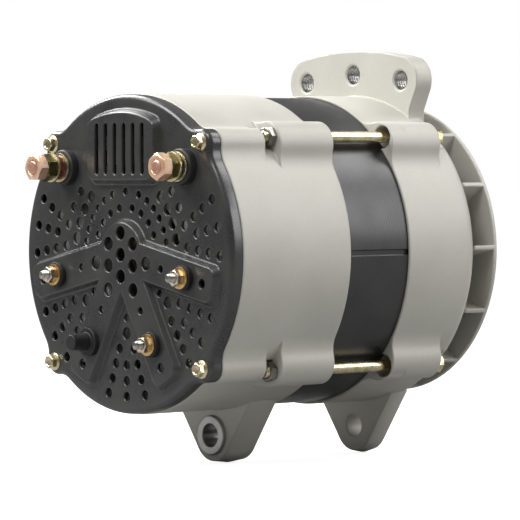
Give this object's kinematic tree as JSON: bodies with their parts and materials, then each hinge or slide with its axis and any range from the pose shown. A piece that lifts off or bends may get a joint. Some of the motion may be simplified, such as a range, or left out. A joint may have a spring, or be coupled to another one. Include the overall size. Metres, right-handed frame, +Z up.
{
  "type": "heavy-duty alternator",
  "caption": "Hinge-mounted heavy-duty alternator with cast end housings round a laminated stator, a perforated rear cover with stud terminals, an external fan and a bare shaft end.",
  "frame": {"origin": "on the shaft axis, in the front face of the fan hub that the pulley seats against", "axes": "+X along the shaft towards its threaded end, +Z up towards the adjusting ear, hinge lugs at -Z"},
  "size_m": [0.2915, 0.1768, 0.2332],
  "materials": {
    "cover_black": "satin black moulding",
    "cast_aluminium": "fine-grained casting, satin",
    "core_black": "varnished laminations",
    "copper_wire": "enamelled copper wire",
    "gold_zinc": "yellow passivated zinc",
    "bright_steel": "bright zinc",
    "bearing_steel": "ground and polished",
    "cage_brass": "machined",
    "seal_rubber": "matte",
    "sink_aluminium": "bright extruded",
    "diode_nickel": "nickel plated",
    "insulator_black": "moulded",
    "spacer_red": "moulded",
    "olive_nut": "dark olive zinc",
    "copper_nut": "copper plated",
    "terminal_brass": "plated brass",
    "stud_steel": "plated steel",
    "brush_carbon": "pressed carbon",
    "spring_steel": "wire",
    "shaft_steel": "turned and ground",
    "pole_iron": "forged, varnished",
    "slip_copper": "turned copper",
    "coil_varnish": "varnished copper wire"
  },
  "bodies": {
    "housing": {"rear_cover": "cover_black", "cover_screws": "gold_zinc", "rear_housing": "cast_aluminium", "drive_housing": "cast_aluminium", "stator_core": "core_black", "stator_winding": "copper_wire", "through_bolts": "gold_zinc", "through_bolt_nuts": "gold_zinc", "front_bearing_outer_race": "bearing_steel", "front_bearing_seals": "seal_rubber", "bearing_retainer": "bright_steel", "retainer_screws": "bright_steel", "rear_bearing_outer_race": "bearing_steel", "positive_heat_sink": "sink_aluminium", "negative_heat_sink": "sink_aluminium", "positive_diodes": "diode_nickel", "negative_diodes": "diode_nickel", "heat_sink_insulators": "insulator_black", "heat_sink_screws": "bright_steel", "brush_holder": "insulator_black", "brush_holder_screws": "bright_steel", "outer_brush_spring": "spring_steel", "inner_brush_spring": "spring_steel", "voltage_regulator": "insulator_black", "regulator_screws": "bright_steel", "positive_stud": "stud_steel", "negative_stud": "stud_steel", "stud_insulators": "insulator_black", "stud_washers": "gold_zinc", "positive_spacer": "spacer_red", "negative_spacer": "insulator_black", "lock_nuts": "olive_nut", "power_nuts": "copper_nut", "small_terminal_studs": "stud_steel", "small_terminal_insulators": "insulator_black", "small_terminal_washers": "terminal_brass", "small_terminal_nuts": "terminal_brass", "terminal_cap": "insulator_black"},
    "rotor": {"rotor_shaft": "shaft_steel", "rear_claw_pole": "pole_iron", "front_claw_pole": "pole_iron", "field_bobbin": "insulator_black", "field_coil": "coil_varnish", "slip_ring_core": "insulator_black", "slip_rings": "slip_copper", "fan": "cast_aluminium", "fan_spacer": "bright_steel", "front_bearing_inner_race": "bearing_steel", "rear_bearing_inner_race": "bearing_steel"},
    "front_cage": {"front_bearing_balls": "bearing_steel", "front_bearing_cage": "cage_brass"},
    "rear_cage": {"rear_bearing_rollers": "bearing_steel", "rear_bearing_cage": "cage_brass"},
    "outer_brush": {"outer_brush": "brush_carbon"},
    "inner_brush": {"inner_brush": "brush_carbon"},
    "hinge_bushing": {"hinge_bushing": "bright_steel"}
  },
  "joints": [
    {"name": "rotor_spin", "type": "hinge", "parent": "housing", "child": "rotor", "pos_m": [0, 0, 0], "axis": [1, 0, 0], "continuous": true},
    {"name": "front_cage_orbit", "type": "hinge", "parent": "housing", "child": "front_cage", "pos_m": [-0.0355, 0, 0], "axis": [1, 0, 0], "continuous": true},
    {"name": "rear_cage_orbit", "type": "hinge", "parent": "housing", "child": "rear_cage", "pos_m": [-0.158, 0, 0], "axis": [1, 0, 0], "continuous": true},
    {"name": "outer_brush_slide", "type": "slide", "parent": "housing", "child": "outer_brush", "axis": [0, 0, 1], "range_m": [0, 0.004], "stiffness_N_per_m": 200, "springref_m": -0.015, "deforming": ["outer_brush_spring"]},
    {"name": "inner_brush_slide", "type": "slide", "parent": "housing", "child": "inner_brush", "axis": [0, 0, 1], "range_m": [0, 0.004], "stiffness_N_per_m": 200, "springref_m": -0.015, "deforming": ["inner_brush_spring"]},
    {"name": "bushing_slide", "type": "slide", "parent": "housing", "child": "hinge_bushing", "axis": [1, 0, 0], "range_m": [0, 0.004]}
  ],
  "couplings": [
    {"joint": "front_cage_orbit", "follows": "rotor_spin", "ratio": 0.3678},
    {"joint": "rear_cage_orbit", "follows": "rotor_spin", "ratio": 0.3842}
  ]
}
